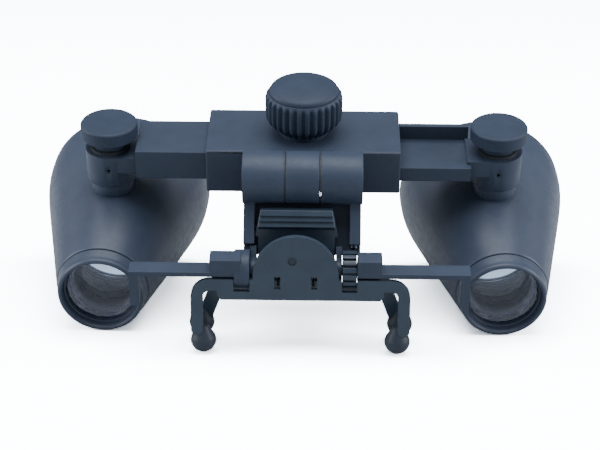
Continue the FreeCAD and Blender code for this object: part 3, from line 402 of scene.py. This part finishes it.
def make_barrel(side):
    """Conical skin, swivel collar, eyepiece rim and objective retainer, as (radius, height, rounding)."""
    body = side + "_barrel"
    place = BARREL[side]
    skin = soften([(6.52, 2.82, 0), (7.66, 2.82, 0.1), (7.82, 3.1, 0.2), (13.7, 27.0, 6.0),
                   (14.38, 31.0, 2.0), (14.4, 34.7, 0.3), (14.1, 35.0, 0.15), (13.3, 35.0, 0.15),
                   (13.1, 34.6, 0), (13.1, 28.0, 0), (12.25, 26.5, 0), (6.95, 4.3, 0),
                   (6.52, 3.8, 0)], steps=8)
    mesh = lathe(skin, segments=192)
    make_object(side + "_barrel_skin", *mesh, place, BARREL_COAT, body, [side + "_barrel_shell"],
                "barrel_black")
    collar = soften([(0.0, -5.4, 0), (3.65, -5.4, 0.12), (3.65, -6.9, 1.0), (3.3, -8.0, 0.9),
                     (2.2, -9.0, 0.5), (0.0, -9.4, 0)], closed=False, steps=6)
    make_object(side + "_barrel_collar", *lathe(collar, segments=96, closed=False), POST[side],
                BARREL_COAT, body, slot="barrel_black")
    ring = soften([(6.0, 1.5, 0.1), (6.22, 1.42, 0.05), (6.24, 0.5, 0.2), (6.5, 0.04, 0.25),
                   (6.8, 0.0, 0.2), (7.18, 0.35, 0.3), (7.2, 1.1, 0.4), (7.62, 2.68, 0.12),
                   (6.45, 2.68, 0), (6.45, 3.7, 0), (6.0, 3.7, 0)], steps=5)
    make_object(side + "_eyepiece_rim", *lathe(ring, segments=160), place, BARREL_COAT, body,
                [side + "_eyepiece_ring"], "barrel_black")
    retainer = soften([(12.45, 31.5, 0), (13.05, 31.5, 0), (13.05, 34.65, 0.1), (12.5, 34.65, 0.1)],
                      steps=3)
    make_object(side + "_objective_retainer", *lathe(retainer, segments=160), place, BARREL_COAT, body,
                [side + "_objective_ring"], "barrel_black")


def dish(radius, rim, middle, steps=14):
    """A spherical lens face as (radius, height) points from the axis to the rim."""
    return [(radius * n / steps, middle + (rim - middle) * (n / steps) ** 2) for n in range(steps + 1)]


def make_lenses(side):
    body = side + "_barrel"
    place = BARREL[side]
    eyepiece_radius, objective_radius = 5.9, 12.9
    rear = dish(eyepiece_radius, 2.45, 3.55)
    front = dish(eyepiece_radius, 4.38, 4.15)
    eyepiece = rear + list(reversed(front))
    make_object(side + "_eyepiece_glass", *lathe(eyepiece, segments=96, closed=False), place, GLASS, body,
                [side + "_eyepiece_lens"], "lens_glass", sharp=50)
    inner = dish(objective_radius, 28.3, 27.65)
    outer = dish(objective_radius, 31.1, 32.5)
    objective = inner + list(reversed(outer))
    make_object(side + "_objective_glass", *lathe(objective, segments=96, closed=False), place, GLASS, body,
                [side + "_objective_lens"], "lens_glass", sharp=50)


def make_baffle(side):
    """The blackened inner cone, with narrow grooves that catch stray light."""
    start, end, near_radius, far_radius = 4.85, 26.15, 5.95, 11.25
    first_groove, groove_pitch, groove_width, groove_depth, groove_slant = 1.6, 3.3, 0.5, 0.45, 0.05

    def bore(height):
        return near_radius + (far_radius - near_radius) * (height - start) / (end - start)

    inner = [(bore(end), end)]
    height = end - first_groove
    while height > start + groove_pitch / 2:
        low = height - groove_width
        inner += [(bore(height), height), (bore(height) + groove_depth, height - groove_slant),
                  (bore(low) + groove_depth, low + groove_slant), (bore(low), low)]
        height -= groove_pitch
    inner.append((near_radius, start))
    wall = [(6.6, start), (12.05, end)]
    make_object(side + "_baffle_ribs", *lathe(wall + inner, segments=128), BARREL[side], BAFFLE_COAT,
                side + "_barrel", [side + "_ribbed_baffle"], "matt_baffle", sharp=25)


# ---------------------------------------------------------------- clip

def make_spring():
    """A torsion spring: a close helix on the clip pin, its ends at the thumb plate and the far jaw."""
    coil, wire, turns, steps_per_turn = 1.35, 0.22, 13, 20
    half = 2.81
    end_start, end_tip = -1.2, -2.45
    path = [(-half, end_tip, -coil), (-half, end_start, -coil)]
    steps = turns * steps_per_turn
    for number in range(steps + 1):
        angle = -math.pi / 2 + 2 * math.pi * number / steps_per_turn
        x = -half + 2 * half * number / steps
        path.append((x, coil * math.cos(angle), coil * math.sin(angle)))
    path += [(half, end_start, -coil), (half, end_tip, -coil)]
    back = tube([(0.0, 0.15, 1.42), (0.0, 0.9, 1.25), (0.0, 1.62, 1.0)], wire)
    mesh = joined(tube(path, wire), back)
    make_object("jaw_spring_wire", *mesh, CLIP, SPRING_STEEL, "clip", ["jaw_spring"], "spring_steel")


# ---------------------------------------------------------------- carried-over CAD nodes

def dress_node(name, material, bevel):
    """Give a CAD node its material and, for an angular part, rounded edges."""
    node = nodes[name]
    node.data.materials.clear()
    node.data.materials.append(material)
    if bevel > 0:
        weld = node.modifiers.new("weld", "WELD")
        weld.merge_threshold = 1e-6
        rounding = node.modifiers.new("rounding", "BEVEL")
        rounding.width = bevel * MM
        rounding.segments = 3
        rounding.limit_method = "ANGLE"
        rounding.angle_limit = math.radians(35)
        rounding.harden_normals = True
        rounding.miter_outer = "MITER_ARC"


BEVELS = {"bridge_housing": 0.28, "left_arm": 0.15, "right_arm": 0.15, "flip_link": 0.22,
          "left_brow_bar": 0.12, "right_brow_bar": 0.12, "near_jaw": 0.08, "far_jaw": 0.14}


def dress_cad_nodes():
    slots = {entry["node"]: entry["material_slot"] for entry in frame["record"]["subparts"]}
    for name, node in nodes.items():
        if node.hide_render:
            continue
        dress_node(name, NODE_MATERIALS[slots[name]], BEVELS.get(name, 0.0))


# ---------------------------------------------------------------- table, light and camera

COOL_WHITE = (0.90, 0.95, 1.0)
LIGHT_TARGET = Vector((0, 0, 0.02))
TABLE_BOUNCE = 0.5
OVEREXPOSURE = 6.2


def table_material():
    """Matt white: TABLE_BOUNCE for the light it throws on the part, OVEREXPOSURE where the lens sees it."""
    material = bpy.data.materials.new("white_table")
    material.use_nodes = True
    tree = material.node_tree
    tree.nodes.remove(tree.nodes["Principled BSDF"])
    coordinates = add(tree, "ShaderNodeTexCoord").outputs["Object"]
    shade = spread(tree, noise_of(tree, coordinates, 3.0), 0.99, 1.0)
    path = add(tree, "ShaderNodeLightPath")
    gain = add(tree, "ShaderNodeMapRange")
    gain.inputs["To Min"].default_value = TABLE_BOUNCE
    gain.inputs["To Max"].default_value = OVEREXPOSURE
    tree.links.new(path.outputs["Is Camera Ray"], gain.inputs["Value"])
    level = add(tree, "ShaderNodeMath", operation="MULTIPLY")
    tree.links.new(shade, level.inputs[0])
    tree.links.new(gain.outputs["Result"], level.inputs[1])
    tint = add(tree, "ShaderNodeVectorMath", operation="SCALE")
    tint.inputs[0].default_value = COOL_WHITE
    tree.links.new(level.outputs[0], tint.inputs["Scale"])
    matt = add(tree, "ShaderNodeBsdfDiffuse")
    tree.links.new(tint.outputs[0], matt.inputs["Color"])
    tree.links.new(matt.outputs[0], tree.nodes["Material Output"].inputs["Surface"])
    return material


def make_stage():
    """A white table that curves up far behind into a white wall; sizes are in metres."""
    half_width, front, depth, curve, wall, steps = 1.6, -1.2, 0.9, 0.4, 1.4, 12
    profile = [(front, 0.0), (depth, 0.0)]
    for step in range(1, steps + 1):
        angle = math.pi / 2 * step / steps
        profile.append((depth + curve * math.sin(angle), curve - curve * math.cos(angle)))
    profile.append((depth + curve, wall))
    vertices, faces = [], []
    for y, z in profile:
        vertices += [(-half_width, y, z), (half_width, y, z)]
    for number in range(len(profile) - 1):
        a = number * 2
        faces.append((a, a + 1, a + 3, a + 2))
    mesh = bpy.data.meshes.new("table")
    mesh.from_pydata(vertices, [], faces)
    for polygon in mesh.polygons:
        polygon.use_smooth = True
    table = bpy.data.objects.new("table", mesh)
    scene.collection.objects.link(table)
    mesh.materials.append(table_material())


def area_light(name, place, width, height, power):
    """A rectangular lamp in metres and watts, turned towards the middle of the part."""
    data = bpy.data.lights.new(name, "AREA")
    data.shape = "RECTANGLE"
    data.size = width
    data.size_y = height
    data.energy = power
    lamp = bpy.data.objects.new(name, data)
    scene.collection.objects.link(lamp)
    lamp.location = place
    lamp.rotation_euler = (LIGHT_TARGET - Vector(place)).to_track_quat("-Z", "Y").to_euler()


def make_light():
    """An even cool sky, a soft lamp overhead and a panel on either side."""
    world = bpy.data.worlds.new("studio")
    world.use_nodes = True
    background = world.node_tree.nodes["Background"]
    background.inputs["Color"].default_value = (*COOL_WHITE, 1)
    background.inputs["Strength"].default_value = 0.5
    scene.world = world
    area_light("overhead", (0.0, -0.05, 0.5), 0.5, 0.4, 4.4)
    area_light("left_panel", (-0.5, -0.05, 0.2), 0.35, 0.35, 3.2)
    area_light("right_panel", (0.5, -0.05, 0.2), 0.35, 0.35, 3.4)


def make_camera():
    """The viewpoint: on the eyepieces' side, above, nearly square on; millimetres from the pinion."""
    elevation, azimuth, roll = math.radians(33.385), math.radians(0.82), math.radians(0.208)
    distance, target = 295.72, Vector((-0.578, 0.0, -14.948))
    back = Vector((math.sin(azimuth) * math.cos(elevation), -math.cos(azimuth) * math.cos(elevation),
                   math.sin(elevation)))
    right = Vector((0, 0, 1)).cross(back).normalized()
    up = back.cross(right)
    turned_right = right * math.cos(roll) + up * math.sin(roll)
    turned_up = back.cross(turned_right)
    pose = Matrix((turned_right, turned_up, back)).transposed().to_4x4()
    pose.translation = (target + back * distance) * MM
    data = bpy.data.cameras.new("view")
    data.lens = 102.64
    data.sensor_width = 36.0
    data.clip_start = 0.01
    data.clip_end = 10.0
    camera = bpy.data.objects.new("view", data)
    scene.collection.objects.link(camera)
    camera.matrix_world = LEVEL @ pose
    scene.camera = camera


# ---------------------------------------------------------------- build

make_pd_knob()
for side in ("left", "right"):
    make_lock_knob(side)
    make_barrel(side)
    make_lenses(side)
    make_baffle(side)
make_spring()
dress_cad_nodes()
make_stage()
make_light()
make_camera()
